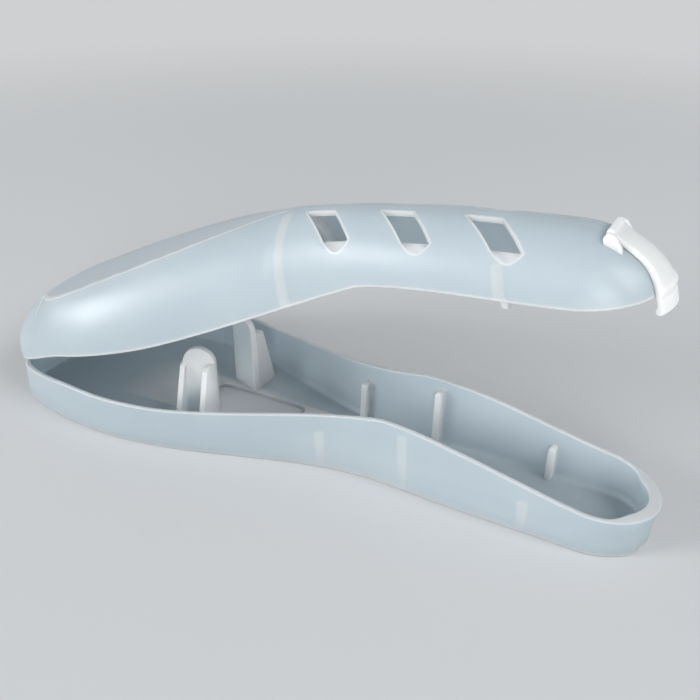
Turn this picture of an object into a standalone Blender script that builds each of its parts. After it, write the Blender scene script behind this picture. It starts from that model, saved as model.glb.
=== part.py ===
"""Travel razor case: a long clamshell moulded in frosted polypropylene.

A shallow tray and a domed lid share one plan outline, wide at the head and narrow at
the grip, and one arched parting line. They fold on a thin film hinge across the blunt
nose. Two tall cradle posts flank the razor's neck over a drain slot in the floor, short
ribs centre the handle, and a sprung clip on the tail of the lid snaps under a lip on
the tail of the tray.

Lengths are metres. A station is a distance along X from the nose of the closed case,
and every lid piece is drawn closed, then swung open round the hinge.
"""

import math

import bmesh
import bpy
from mathutils import Vector

MM = 0.001

# Plan outline, shared by the tray and the lid
CASE_LENGTH = 193 * MM
NOSE_HALF = 22.4 * MM
NOSE_CORNER = 8 * MM
HEAD_STATION = 41 * MM
HEAD_HALF = 32.2 * MM
WAIST_STATION = 122 * MM
WAIST_HALF = 13.7 * MM
GRIP_STATION = 146 * MM
GRIP_HALF = 14.4 * MM
TAIL_ROUND = 17 * MM

# Parting line, arched to its highest point at the hip
RIM_NOSE = 10.6 * MM
RIM_HEAD = 13.7 * MM
RIM_HIP = 21.3 * MM
RIM_TAIL = 11.3 * MM
RIM_NOSE_END = 5 * MM
RIM_HEAD_START = 33 * MM
RIM_HEAD_END = 59 * MM
RIM_HIP_STATION = 124 * MM
RIM_GAP = 0.3 * MM

# Shells
TRAY_WALL = 1.4 * MM
FLOOR_THICKNESS = 1.4 * MM
TRAY_DRAFT = 1.6 * MM
NOSE_DRAFT = -0.5 * MM
NOSE_DRAFT_END = 44 * MM
TAIL_DRAFT = 0.9 * MM
TAIL_DRAFT_RUN = 25 * MM
TRAY_FOOT_EDGE = 0.7 * MM
LID_WALL = 1.3 * MM

# Lid crown on the centre line, closed
LEDGE_HEIGHT = 18.7 * MM
LEDGE_DEPTH = 0.6 * MM
CREST_STATION = 19 * MM
CREST_HEIGHT = 29.6 * MM
APEX_STATION = 102 * MM
APEX_HEIGHT = 39.6 * MM
SHOULDER_HEIGHT = 28.3 * MM

# Shield facet on the head of the lid
FACET_STATION = 33 * MM
FACET_HALF = 25.8 * MM
FACET_NOSE_HALF = 18.3 * MM
FACET_CROWN = 2.0 * MM
SPINE_HALF = 1.5 * MM
HEAD_TURN = math.radians(62)
GRIP_TURN = math.radians(88)
TURN_START = 63 * MM

# Vent windows, mirrored either side of the spine
WINDOW_COUNT = 3
WINDOW_START = 109.1 * MM
WINDOW_PITCH = 21.4 * MM
WINDOW_WIDTH = 8.2 * MM
WINDOW_FOOT_WIDTH = 7.2 * MM
WINDOW_SLANT = 7.6 * MM
WINDOW_INNER = 2.85 * MM
WINDOW_SILL = 9.6 * MM
WINDOW_FOOT = 10.7 * MM
WINDOW_SILL_BOW = 1.5 * MM

# Film hinge across the nose
FILM_RADIUS = 0.5 * MM
FILM_GAP = 0.3 * MM
FILM_HALF = 13 * MM
LID_OPEN = math.radians(16.75)

# Drain slot and cradle posts
SLOT_START = 56.5 * MM
SLOT_END = 88 * MM
SLOT_HALF = 8.6 * MM
SLOT_CORNER = 3 * MM
POST_STATION = 63.6 * MM
POST_WIDTH = 10.4 * MM
POST_TOP_WIDTH = 9.2 * MM
POST_THICKNESS = 1.9 * MM
POST_HEIGHT = 25.2 * MM
POST_SETBACK = 0.5 * MM
GUSSET_THICKNESS = 1.4 * MM
GUSSET_TOP = 20.4 * MM
GUSSET_TOP_REACH = 1.6 * MM
GUSSET_FOOT_REACH = 5.5 * MM

# Handle ribs on the tray walls: station and drop of the rib's top below the rim
TRAY_RIBS = (("front", 105.8 * MM, 4.9 * MM), ("middle", 129.8 * MM, 2.7 * MM), ("rear", 162.8 * MM, 4.4 * MM))
RIB_WIDTH = 2.0 * MM
RIB_REACH = 2.3 * MM
RIB_CHAMFER = 0.5 * MM

# Locating ribs under the lid: station, reach, part of the wall arc, and drop below the rim
LID_RIBS = (
    ("front", 104.2 * MM, 3.4 * MM, 0.95, 0.0 * MM),
    ("rear", 160.9 * MM, 2.6 * MM, 0.36, 2.2 * MM),
)
LID_RIB_WIDTH = 1.8 * MM

# Tail lip on the tray, undercut below, and the clip that snaps under it
UNDERCUT = 0.6 * MM
LIP_HEIGHT = 1.6 * MM
LIP_THICKNESS = 3.2 * MM
CLIP_HALF = 4.3 * MM
CLIP_PAD_HALF = 6.2 * MM
CLIP_FLARE_HEIGHT = 10 * MM
CLIP_THICKNESS = 1.3 * MM
CLIP_SETBACK = 9.8 * MM
CLIP_BARREL = 0.9 * MM
CLIP_RUN = 2.4 * MM
CLIP_BEAD = 0.8 * MM
CLIP_THUMB = 0.35 * MM
CLIP_THUMB_HEIGHT = 1.9 * MM
CLIP_NOTCH = 0.35 * MM
CLIP_TIP = 0.5 * MM
CLIP_BEND_RUN = 4 * MM
EAR_THICKNESS = 1.4 * MM
EAR_AHEAD = 0.7 * MM
EAR_BEHIND = 2.9 * MM
EAR_EDGE = 0.4 * MM

# Clearance between pieces that touch on the real case
SEAT = 0.3 * MM

# Mesh counts
CORNER_STEPS = 6
BODY_STEPS = 42
TAIL_STEPS = 9
SIDE_STEPS = 9
FACET_STEPS = 4
LID_CREASE = 17
ARC_STEPS = 8
CLIP_SLICES = 7

TAIL_CENTRE = CASE_LENGTH - TAIL_ROUND
CLIP_STATION = CASE_LENGTH - CLIP_SETBACK
LEDGE_TURN = (math.radians(28), math.radians(48))
UNDERCUT_TURN = (math.radians(58), math.radians(69))
HINGE_STATION = -(FILM_RADIUS + FILM_GAP)
HINGE_HEIGHT = RIM_NOSE + RIM_GAP / 2
ORIGIN = Vector((CASE_LENGTH / 2, 0, 0))


def ease(value, start, end):
    """0 before start, 1 after end, and a smooth step between."""
    share = min(max((value - start) / (end - start), 0.0), 1.0)
    return share * share * (3 - 2 * share)


def mix(first, second, share):
    return first + (second - first) * share


def rim_height(station):
    """Height of the parting line."""
    if station < RIM_HEAD_END:
        return mix(RIM_NOSE, RIM_HEAD, ease(station, RIM_NOSE_END, RIM_HEAD_START))
    if station < RIM_HIP_STATION:
        share = (station - RIM_HEAD_END) / (RIM_HIP_STATION - RIM_HEAD_END)
        return mix(RIM_HEAD, RIM_HIP, share**1.5)
    return mix(RIM_HIP, RIM_TAIL, ease(station, RIM_HIP_STATION, CASE_LENGTH))


def lean(station, height):
    """How far the tray wall has drawn in at a height, which is nothing at the rim."""
    foot = mix(NOSE_DRAFT, TRAY_DRAFT, ease(station, 0, NOSE_DRAFT_END))
    foot = mix(foot, TAIL_DRAFT, ease(station, CASE_LENGTH - TAIL_DRAFT_RUN, CASE_LENGTH))
    return foot * (1 - height / rim_height(station))


def plan_points(inset, lip=0.0, turn=LEDGE_TURN, level=rim_height):
    """(station, half width, fall) from nose to tail, moved in by inset.

    The fall is 1 along the body and goes to 0 round the tail. The lip is added to the
    inset over a turn of the round tail. The level gives a height at each station, and
    the tray wall's lean at it is added all round."""
    nose = inset + lean(0, level(0))
    corner = max(NOSE_CORNER - nose, 0.3 * MM)
    points = []
    for step in range(CORNER_STEPS):
        angle = math.radians(90) * step / CORNER_STEPS
        station = nose + corner * (1 - math.cos(angle))
        trim = corner * (1 - math.sin(angle))
        moved = inset + lean(station, level(station))
        points.append((station, body_half(station, moved, nose) - trim, 1.0))
    for step in range(BODY_STEPS):
        station = mix(nose + corner, TAIL_CENTRE, step / BODY_STEPS)
        moved = inset + lean(station, level(station))
        points.append((station, body_half(station, moved, nose), 1.0))
    for step in range(TAIL_STEPS):
        angle = math.radians(90) * step / TAIL_STEPS
        moved = inset + lip * ease(angle, *turn)
        station = TAIL_CENTRE + TAIL_ROUND * math.sin(angle)
        moved += lean(station, level(station))
        station = TAIL_CENTRE + (TAIL_ROUND - moved) * math.sin(angle)
        points.append((station, (GRIP_HALF - moved) * math.cos(angle), math.cos(angle)))
    end = CASE_LENGTH - inset - lip - lean(CASE_LENGTH, level(CASE_LENGTH))
    points.append((end, 0.0, 0.0))
    return points


def body_half(station, inset, nose=0.0):
    """Half width up to the round tail, with the nose end of the outline moved to a station."""
    if station < HEAD_STATION:
        share = (HEAD_STATION - station) / (HEAD_STATION - nose)
        half = HEAD_HALF - (HEAD_HALF - NOSE_HALF) * share * share
    elif station < WAIST_STATION:
        half = mix(HEAD_HALF, WAIST_HALF, ease(station, HEAD_STATION, WAIST_STATION))
    else:
        half = mix(WAIST_HALF, GRIP_HALF, ease(station, WAIST_STATION, GRIP_STATION))
    return half - inset


def plan_half(station, inset=0.0):
    """Half width at any station, round tail included."""
    if station <= TAIL_CENTRE:
        return body_half(station, inset, inset)
    share = min((station - TAIL_CENTRE) / (TAIL_ROUND - inset), 1.0)
    return (GRIP_HALF - inset) * math.sqrt(1 - share * share)


def crown_height(station):
    """Height of the closed lid's centre line, before the tail rounds it off."""
    if station < CREST_STATION:
        climb = max(station - LEDGE_DEPTH, 0) / (CREST_STATION - LEDGE_DEPTH)
        return CREST_HEIGHT - (CREST_HEIGHT - LEDGE_HEIGHT) * (1 - climb) ** 1.7
    if station < APEX_STATION:
        share = (APEX_STATION - station) / (APEX_STATION - CREST_STATION)
        return APEX_HEIGHT - (APEX_HEIGHT - CREST_HEIGHT) * share**1.35
    share = (station - APEX_STATION) / (TAIL_CENTRE - APEX_STATION)
    return APEX_HEIGHT - (APEX_HEIGHT - SHOULDER_HEIGHT) * share**1.6


def facet_half(station):
    """Half width of the shield facet, which ends in the narrow spine."""
    if station < FACET_STATION:
        share = (FACET_STATION - max(station, CREST_STATION)) / (FACET_STATION - CREST_STATION)
        return mix(FACET_HALF, FACET_NOSE_HALF, share * share)
    share = min((station - FACET_STATION) / (APEX_STATION - FACET_STATION), 1.0)
    return max(FACET_HALF * (1 - share**1.6), SPINE_HALF)


def lid_arc(station, half, fall, inset):
    """The lid's cross-section at a station, as the sizes of its facet and its side arc."""
    base = rim_height(station) + RIM_GAP
    crown = base + (crown_height(station) - inset - base) * fall
    facet = min(facet_half(station) * fall, max(half - 0.5 * MM * fall, 0.0))
    sag = FACET_CROWN * facet / FACET_HALF
    turn = mix(HEAD_TURN, GRIP_TURN, ease(station, TURN_START, APEX_STATION))
    across = (half - facet) / (1 - math.cos(turn))
    rise = (crown - sag - base) / math.sin(turn)
    return base, crown, facet, sag, turn, across, rise


def lid_section(point, inset, reach=1.0):
    """Points (y, z) from the near rim to the centre line; reach shortens the side arc."""
    station, half, fall = point
    base, crown, facet, sag, turn, across, rise = lid_arc(station, half, fall, inset)
    section = []
    for step in range(SIDE_STEPS):
        angle = turn * reach * step / SIDE_STEPS
        section.append((half - across * (1 - math.cos(angle)), base + rise * math.sin(angle)))
    if reach < 1:
        return section
    for step in range(FACET_STEPS + 1):
        share = 1 - step / FACET_STEPS
        section.append((facet * share, crown - sag * share * share))
    return section


def lid_surface(station, across_y, inset=0.0):
    """Height of the closed lid's skin at a station and a distance from the centre line."""
    half = plan_half(station, inset)
    fall = half / (GRIP_HALF - inset) if station > TAIL_CENTRE else 1.0
    base, crown, facet, sag, _, across, rise = lid_arc(station, half, fall, inset)
    if across_y <= facet:
        return crown - sag * (across_y / facet) ** 2
    cosine = (across_y - half + across) / across
    return base + rise * math.sqrt(max(1 - cosine * cosine, 0.0))


def tray_inner(station, height):
    """Half width of the tray's inner wall face at a height."""
    return plan_half(station, TRAY_WALL + lean(station, height))


def material(name, colour, alpha, roughness):
    plastic = bpy.data.materials.new(name)
    plastic.use_nodes = True
    shader = plastic.node_tree.nodes["Principled BSDF"]
    shader.inputs["Base Color"].default_value = (*colour, 1)
    shader.inputs["Alpha"].default_value = alpha
    shader.inputs["Roughness"].default_value = roughness
    shader.inputs["Metallic"].default_value = 0
    plastic.diffuse_color = (*colour, alpha)
    return plastic


def solid(name, verts, faces, plastic=None, parent=None, pivot=ORIGIN, smooth=40):
    """A mesh object drawn in stations, with its origin on the pivot."""
    mesh = bpy.data.meshes.new(name)
    mesh.from_pydata([Vector(v) - pivot for v in verts], [], faces)
    body = bmesh.new()
    body.from_mesh(mesh)
    bmesh.ops.remove_doubles(body, verts=body.verts, dist=0.5e-6)
    bmesh.ops.recalc_face_normals(body, faces=body.faces)
    body.to_mesh(mesh)
    body.free()
    mesh.shade_smooth()
    mesh.set_sharp_from_angle(angle=math.radians(smooth))
    if plastic:
        mesh.materials.append(plastic)
    thing = bpy.data.objects.new(name, mesh)
    bpy.context.scene.collection.objects.link(thing)
    thing.parent = parent
    if parent is None:
        thing.location = pivot - ORIGIN
    return thing


def tool(name, verts, faces, pivot=ORIGIN, parent=None):
    """A solid that only cuts or adds."""
    thing = solid(name, verts, faces, pivot=pivot, parent=parent)
    thing.hide_render = True
    thing.display_type = "WIRE"
    return thing


def combine(thing, other, operation):
    change = thing.modifiers.new(other.name, "BOOLEAN")
    change.operation = operation
    change.solver = "EXACT"
    change.object = other


def prism(outline, low, high):
    """Vertices and faces of an outline of (x, y) pulled up from low to high."""
    count = len(outline)
    verts = [(x, y, low) for x, y in outline] + [(x, y, high) for x, y in outline]
    faces = [tuple(range(count)), tuple(range(count, 2 * count))]
    for i in range(count):
        j = (i + 1) % count
        faces.append((i, j, count + j, count + i))
    return verts, faces


def slab(outline, near, far):
    """Vertices and faces of an outline of (x, z) pulled across from near to far."""
    verts, faces = prism(outline, near, far)
    return [(x, y, z) for x, z, y in verts], faces


def arc(centre_x, centre_z, radius, first, last, steps=ARC_STEPS):
    """Points round a centre, angles in degrees."""
    angles = [math.radians(mix(first, last, i / steps)) for i in range(steps + 1)]
    return [(centre_x + radius * math.cos(a), centre_z + radius * math.sin(a)) for a in angles]


def ring(inset, level, lip=0.0, turn=LEDGE_TURN):
    """A closed loop round the tray: near side to the tail, then back along the far side."""
    points = plan_points(inset, lip, turn, level)
    near = [(s, -half, level(s)) for s, half, _ in points]
    far = [(s, half, level(s)) for s, half, _ in points[-2::-1]]
    return near + far


def across_faces(first, count):
    """Faces that close a plan ring from side to side."""
    last = first + 2 * count - 2
    faces = [(first + i, first + i + 1, last - i - 1, last - i) for i in range(count - 2)]
    return faces + [(first + count - 2, first + count - 1, first + count)]


def make_tray(plastic):
    """Floor, drafted wall, arched rim and the thick undercut lip at the tail."""
    ledge = LIP_THICKNESS - TRAY_WALL
    rings = [
        ring(TRAY_FOOT_EDGE, lambda s: 0.0, UNDERCUT, UNDERCUT_TURN),
        ring(0.0, lambda s: TRAY_FOOT_EDGE, UNDERCUT, UNDERCUT_TURN),
        ring(0.0, lambda s: rim_height(s) - LIP_HEIGHT - UNDERCUT, UNDERCUT, UNDERCUT_TURN),
        ring(0.0, lambda s: rim_height(s) - LIP_HEIGHT),
        ring(0.0, rim_height),
        ring(TRAY_WALL, rim_height, ledge),
        ring(TRAY_WALL, lambda s: rim_height(s) - LIP_HEIGHT, ledge),
        ring(TRAY_WALL, lambda s: rim_height(s) - LIP_HEIGHT - ledge + UNDERCUT, UNDERCUT, UNDERCUT_TURN),
        ring(TRAY_WALL, lambda s: FLOOR_THICKNESS, UNDERCUT, UNDERCUT_TURN),
    ]
    size = len(rings[0])
    count = (size + 1) // 2
    verts = [v for loop in rings for v in loop]
    faces = across_faces(0, count) + across_faces(size * (len(rings) - 1), count)
    for level in range(len(rings) - 1):
        for i in range(size):
            j = (i + 1) % size
            low = level * size
            faces.append((low + i, low + j, low + size + j, low + size + i))
    tray = solid("tray_shell", verts, faces, plastic)
    combine(tray, make_slot(), "DIFFERENCE")
    return tray


def make_slot():
    """Drain slot between the posts, with round corners."""
    outline = []
    for x, y, first in (
        (SLOT_END - SLOT_CORNER, SLOT_HALF - SLOT_CORNER, 0),
        (SLOT_START + SLOT_CORNER, SLOT_HALF - SLOT_CORNER, 90),
        (SLOT_START + SLOT_CORNER, SLOT_CORNER - SLOT_HALF, 180),
        (SLOT_END - SLOT_CORNER, SLOT_CORNER - SLOT_HALF, 270),
    ):
        outline += arc(x, y, SLOT_CORNER, first, first + 90, 5)
    return tool("slot_cutter", *prism(outline, -FLOOR_THICKNESS, 2 * FLOOR_THICKNESS))


def make_post(name, side, plastic):
    """Tombstone plate with two buttresses behind it, standing beside the drain slot."""
    foot = FLOOR_THICKNESS + SEAT
    inner = SLOT_HALF + POST_SETBACK
    outer = inner + POST_THICKNESS
    radius = POST_TOP_WIDTH / 2
    crown = POST_HEIGHT - radius
    plate = [(POST_STATION - POST_WIDTH / 2, foot), (POST_STATION + POST_WIDTH / 2, foot)]
    plate += arc(POST_STATION, crown, radius, 0, 180)
    post = solid(name, *slab(plate, side * inner, side * outer), plastic)
    for end in (-1, 1):
        edge = POST_STATION + end * POST_TOP_WIDTH / 2
        low, high = sorted((edge, edge - end * GUSSET_THICKNESS))
        root = inner + POST_THICKNESS / 2
        outline = [
            (root, foot),
            (outer + GUSSET_FOOT_REACH, foot),
            (outer + GUSSET_TOP_REACH, GUSSET_TOP - GUSSET_TOP_REACH / 2),
            (outer + GUSSET_TOP_REACH / 2, GUSSET_TOP),
            (root, GUSSET_TOP),
        ]
        verts, faces = prism([(side * y, z) for y, z in outline], low, high)
        verts = [(x, y, z) for y, z, x in verts]
        combine(post, tool(f"{name}_buttress_{'rear' if end > 0 else 'front'}", verts, faces), "UNION")
    return post


def make_tray_rib(name, side, station, drop, plastic):
    """Upright rib on the tray wall, leaning with it, with a chamfered top."""
    foot = FLOOR_THICKNESS + SEAT
    top = rim_height(station) - drop
    levels = ((foot, 0.0), (top - RIB_CHAMFER, 0.0), (top, RIB_CHAMFER))
    verts = []
    for height, chamfer in levels:
        for end in (-1, 1):
            x = station + end * (RIB_WIDTH / 2 - chamfer)
            wall = tray_inner(x, height) - SEAT
            verts.append((x, side * wall, height))
            verts.append((x, side * (wall - RIB_REACH + chamfer), height))
    faces = [(0, 1, 3, 2), (8, 9, 11, 10)]
    for low in (0, 4):
        for a, b in ((0, 1), (1, 3), (3, 2), (2, 0)):
            faces.append((low + a, low + b, low + 4 + b, low + 4 + a))
    return solid(name, verts, faces, plastic)


def make_film(plastic):
    """Thin flexible web across the nose, rolled round the hinge axis."""
    outline = arc(HINGE_STATION, HINGE_HEIGHT, FILM_RADIUS, 0, 330, 11)
    return solid("hinge_film", *slab(outline, -FILM_HALF, FILM_HALF), plastic)


def lid_skin(inset):
    """Grid of section points, one list for each station."""
    rows = []
    for point in plan_points(inset):
        half = lid_section(point, inset)
        near = [(point[0], -y, z) for y, z in half]
        far = [(point[0], y, z) for y, z in half[-2::-1]]
        rows.append(near + far)
    return rows


def make_lid(plastic, parent, pivot):
    """Domed shell: side arcs up to a shield facet on the head, a rounded back on the grip."""
    outer = lid_skin(0.0)
    inner = lid_skin(LID_WALL)
    wide = len(outer[0])
    total = len(outer) * wide
    verts = [v for row in outer + inner for v in row]
    faces = [tuple(range(wide)), tuple(total + i for i in range(wide))]
    for start in (0, total):
        for row in range(len(outer) - 1):
            for i in range(wide - 1):
                first = start + row * wide + i
                faces.append((first, first + 1, first + wide + 1, first + wide))
    for row in range(len(outer) - 1):
        for edge in (0, wide - 1):
            first = row * wide + edge
            faces.append((first, first + wide, total + first + wide, total + first))
    faces.append((0, wide - 1, total + wide - 1, total))
    lid = solid("lid_shell", verts, faces, plastic, parent, pivot, LID_CREASE)
    for index in range(WINDOW_COUNT):
        for side in (-1, 1):
            combine(lid, make_window(index, side, parent, pivot), "DIFFERENCE")
    return lid


def make_window(index, side, parent, pivot):
    """Slanted vent, cut straight down, that ends in a bowed sill sloping up to the hole."""
    start = WINDOW_START + index * WINDOW_PITCH
    share = (WINDOW_SILL - WINDOW_INNER) / (WINDOW_FOOT - WINDOW_INNER)
    foot_start = start + WINDOW_SLANT
    foot_end = foot_start + WINDOW_FOOT_WIDTH
    outline = [
        (start, WINDOW_INNER),
        (start + WINDOW_WIDTH, WINDOW_INNER),
        (mix(start + WINDOW_WIDTH, foot_end, share), WINDOW_SILL),
        (mix(start, foot_start, share), WINDOW_SILL),
    ]
    steps = [step / ARC_STEPS for step in range(ARC_STEPS + 1)]
    outline += [(mix(foot_start, foot_end, s), WINDOW_FOOT + WINDOW_SILL_BOW * 4 * s * (1 - s)) for s in steps]
    count = len(outline)
    middle = mix(foot_start, foot_end, 0.5)
    end = WINDOW_FOOT + WINDOW_SILL_BOW
    inner = lid_surface(middle, WINDOW_SILL, LID_WALL)
    slope = (inner - lid_surface(middle, end)) / (end - WINDOW_SILL)
    grade = (lid_surface(foot_end, WINDOW_SILL) - lid_surface(foot_start, WINDOW_SILL)) / WINDOW_FOOT_WIDTH
    verts = []
    for x, y in outline:
        sill_height = inner + grade * (x - middle) - slope * max(y - WINDOW_SILL, 0)
        verts.append((x, side * y, sill_height))
    verts += [(x, side * y, APEX_HEIGHT + LID_WALL) for x, y in outline]
    sill = (3, 2) + tuple(range(count - 1, 3, -1))
    faces = [(0, 1, 2, 3), sill, (count + 3, count + 2, count + 1, count), tuple(count + i for i in sill)]
    for loop in ((0, 1, 2), (2, count - 1), tuple(range(count - 1, 3, -1)), (4, 3, 0)):
        faces += [(a, b, count + b, count + a) for a, b in zip(loop, loop[1:])]
    name = f"window_{index + 1}_{'far' if side > 0 else 'near'}_cutter"
    return tool(name, verts, faces, pivot, parent)


def make_lid_rib(name, side, station, reach, share, drop, plastic, parent, pivot):
    """Web inside the lid that follows the skin, with a nose that enters the tray where it drops."""
    inset = LID_WALL + SEAT
    verts = []
    for end in (-1, 1):
        x = station + end * LID_RIB_WIDTH / 2
        fall = 1.0
        outer = lid_section((x, plan_half(x, inset), fall), inset, share)
        inner = lid_section((x, plan_half(x, inset + reach), fall), inset + reach, share)
        if drop:
            low = rim_height(x) - drop
            step_in = TRAY_WALL - LID_WALL + lean(x, low)
            outer = [(outer[0][0] - step_in, low), (outer[0][0] - step_in, outer[0][1])] + outer[1:]
            inner = [(inner[0][0] + reach / 3, low), (inner[0][0], low + drop / 2)] + inner[1:]
        verts += [(x, side * y, z) for y, z in outer + inner[::-1]]
    count = len(verts) // 2
    faces = [tuple(range(count)), tuple(range(count, 2 * count))]
    for i in range(count):
        j = (i + 1) % count
        faces.append((i, j, count + j, count + i))
    return solid(name, verts, faces, plastic, parent, pivot)


def clip_pivot():
    """Centre of the clip's barrel, one seat off the lid's skin, and the angle of the skin's normal."""
    step = 0.5 * MM
    fall = lid_surface(CLIP_STATION - step, 0) - lid_surface(CLIP_STATION + step, 0)
    normal = math.atan2(2 * step, fall)
    lift = CLIP_BARREL + SEAT
    centre_x = CLIP_STATION + lift * math.cos(normal)
    return centre_x, lid_surface(CLIP_STATION, 0) + lift * math.sin(normal), math.degrees(normal)


def tail_profile(first, out):
    """Points down the lid's centre line round the tail, from a station and moved out from the skin."""
    radius = TAIL_ROUND + out
    start = math.asin((first - TAIL_CENTRE) / radius)
    points = []
    for step in range(ARC_STEPS + 1):
        angle = mix(start, math.radians(90), step / ARC_STEPS)
        station = TAIL_CENTRE + radius * math.sin(angle)
        base = rim_height(station) + RIM_GAP
        points.append((station, base + (crown_height(station) + out - base) * math.cos(angle)))
    return points


def clip_outline():
    """Side view of the clip: barrel, strap round the tail, thumb ridge, notch and hooked tip."""
    centre_x, centre_z, normal = clip_pivot()
    wall = CASE_LENGTH + SEAT
    skin = wall + CLIP_THICKNESS
    catch = RIM_TAIL - LIP_HEIGHT - SEAT / 2
    bead = wall - UNDERCUT
    low = catch - UNDERCUT - CLIP_BEAD
    ridge = RIM_TAIL + CLIP_THUMB_HEIGHT
    outline = arc(centre_x, centre_z, CLIP_BARREL, normal - 75, normal + 170)
    outline += tail_profile(CLIP_STATION + CLIP_BARREL / 2, SEAT)
    outline += [(wall, catch), (bead, catch - UNDERCUT), (bead, low), (wall, low - CLIP_TIP)]
    outline += [(skin - CLIP_TIP, low - CLIP_TIP), (skin, low), (skin, RIM_TAIL - CLIP_NOTCH)]
    outline += [(skin - CLIP_NOTCH, RIM_TAIL), (skin + CLIP_THUMB, ridge - CLIP_THUMB)]
    outline += [(skin + CLIP_THUMB, ridge + CLIP_THUMB / 2)]
    outside = tail_profile(CLIP_STATION + CLIP_RUN, SEAT + CLIP_THICKNESS)
    outline += [(x, z) for x, z in outside if z > ridge + 2 * CLIP_THUMB][::-1]
    return outline


def make_clip(plastic, parent, pivot):
    """Sprung strap that snaps under the tray's lip, flared to its thumb pad and bent round the tail."""
    outline = clip_outline()
    base = RIM_TAIL + RIM_GAP
    verts = []
    for step in range(CLIP_SLICES):
        share = mix(-1, 1, step / (CLIP_SLICES - 1))
        for x, z in outline:
            y = share * mix(CLIP_PAD_HALF, CLIP_HALF, ease(z, base, base + CLIP_FLARE_HEIGHT))
            pull = 1 - math.sqrt(1 - (y / GRIP_HALF) ** 2)
            bend = 1 - pull * ease(x, pivot.x, pivot.x + CLIP_BEND_RUN)
            verts.append((TAIL_CENTRE + (x - TAIL_CENTRE) * bend, y, base + (z - base) * bend if z > base else z))
    count = len(outline)
    faces = [tuple(range(count)), tuple(range(count * (CLIP_SLICES - 1), count * CLIP_SLICES))]
    for low in range(0, count * (CLIP_SLICES - 1), count):
        for i in range(count):
            j = (i + 1) % count
            faces.append((low + i, low + j, low + count + j, low + count + i))
    return solid("latch_clip", verts, faces, plastic, parent, pivot, 30)


def make_ear(name, side, plastic, parent, pivot):
    """Triangular cheek on the lid that carries one end of the clip's barrel."""
    centre_x, centre_z, _ = clip_pivot()
    near = CLIP_HALF + SEAT
    far = near + EAR_THICKNESS
    start = CLIP_STATION - EAR_AHEAD
    end = CLIP_STATION + EAR_BEHIND
    verts = []
    stations = (start, mix(start, centre_x, 0.5), centre_x, mix(centre_x, end, 0.6), end)
    for x, share in zip(stations, (0.0, 0.8, 1.0, 0.7, 0.0)):
        root = lid_surface(x, near) + SEAT + EAR_EDGE
        top = mix(root, centre_z + CLIP_BARREL - EAR_EDGE, share)
        for y, z in (
            (near, lid_surface(x, near) + SEAT),
            (far, lid_surface(x, far) + SEAT),
            (far, top),
            (near, top),
        ):
            verts.append((x, side * y, z))
    faces = [(0, 1, 2, 3), (16, 17, 18, 19)]
    for low in range(0, 16, 4):
        for i in range(4):
            j = (i + 1) % 4
            faces.append((low + i, low + j, low + 4 + j, low + 4 + i))
    return solid(name, verts, faces, plastic, parent, pivot)


def make_axis(name, location, parent=None):
    """An empty on a joint's axis."""
    axis = bpy.data.objects.new(name, None)
    axis.empty_display_size = 10 * MM
    axis.location = location
    axis.parent = parent
    bpy.context.scene.collection.objects.link(axis)
    return axis


def build():
    for thing in list(bpy.data.objects):
        bpy.data.objects.remove(thing, do_unlink=True)
    shell = material("frosted_shell", (0.82, 0.88, 0.92), 0.55, 0.38)
    thick = material("milky_plastic", (0.92, 0.95, 0.96), 0.9, 0.42)

    make_tray(shell)
    make_film(thick)
    sides = (("near", -1), ("far", 1))
    for word, side in sides:
        make_post(f"cradle_post_{word}", side, thick)
        for place, station, drop in TRAY_RIBS:
            make_tray_rib(f"tray_rib_{place}_{word}", side, station, drop, shell)

    hinge = Vector((HINGE_STATION, 0, HINGE_HEIGHT))
    lid_axis = make_axis("lid_hinge_axis", hinge - ORIGIN)
    lid_axis.rotation_euler = (0, -LID_OPEN, 0)
    make_lid(shell, lid_axis, hinge)
    for word, side in sides:
        for place, station, reach, share, drop in LID_RIBS:
            make_lid_rib(f"lid_rib_{place}_{word}", side, station, reach, share, drop, shell, lid_axis, hinge)
        make_ear(f"latch_ear_{word}", side, thick, lid_axis, hinge)

    centre_x, centre_z, _ = clip_pivot()
    pivot = Vector((centre_x, 0, centre_z))
    clip_axis = make_axis("latch_axis", pivot - hinge, lid_axis)
    make_clip(thick, clip_axis, pivot)


build()
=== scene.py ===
import math

import bmesh
import bpy
from mathutils import Matrix, Vector, kdtree
from mathutils.geometry import tessellate_polygon


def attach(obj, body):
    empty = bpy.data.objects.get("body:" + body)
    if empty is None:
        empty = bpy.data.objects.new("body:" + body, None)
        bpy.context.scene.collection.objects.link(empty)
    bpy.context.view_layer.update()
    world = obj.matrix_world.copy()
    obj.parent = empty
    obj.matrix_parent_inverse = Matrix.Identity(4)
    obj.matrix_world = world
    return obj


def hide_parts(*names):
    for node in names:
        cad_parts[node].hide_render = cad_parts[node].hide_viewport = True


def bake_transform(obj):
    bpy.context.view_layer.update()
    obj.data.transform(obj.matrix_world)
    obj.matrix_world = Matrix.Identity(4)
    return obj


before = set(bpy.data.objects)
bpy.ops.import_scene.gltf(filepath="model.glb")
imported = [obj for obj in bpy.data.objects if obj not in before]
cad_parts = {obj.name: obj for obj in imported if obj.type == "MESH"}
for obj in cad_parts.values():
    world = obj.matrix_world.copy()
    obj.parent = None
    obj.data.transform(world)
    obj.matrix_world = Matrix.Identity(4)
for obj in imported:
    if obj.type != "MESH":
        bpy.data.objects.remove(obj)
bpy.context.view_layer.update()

# Tray: the lower half of the case, injection moulded in frosted polypropylene. It has a flat
# floor with a drain slot, a drafted wall with an arched, rounded rim, and a thick lip at the
# tail, recessed below for the clip. A station is a distance along X from the closed nose.
MM = 0.001
CASE_LENGTH = 193 * MM
ORIGIN = Vector((CASE_LENGTH / 2, 0, 0))
NOSE_HALF = 22.4 * MM
NOSE_CORNER = 8 * MM
HEAD_STATION = 41 * MM
HEAD_HALF = 32.2 * MM
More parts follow.
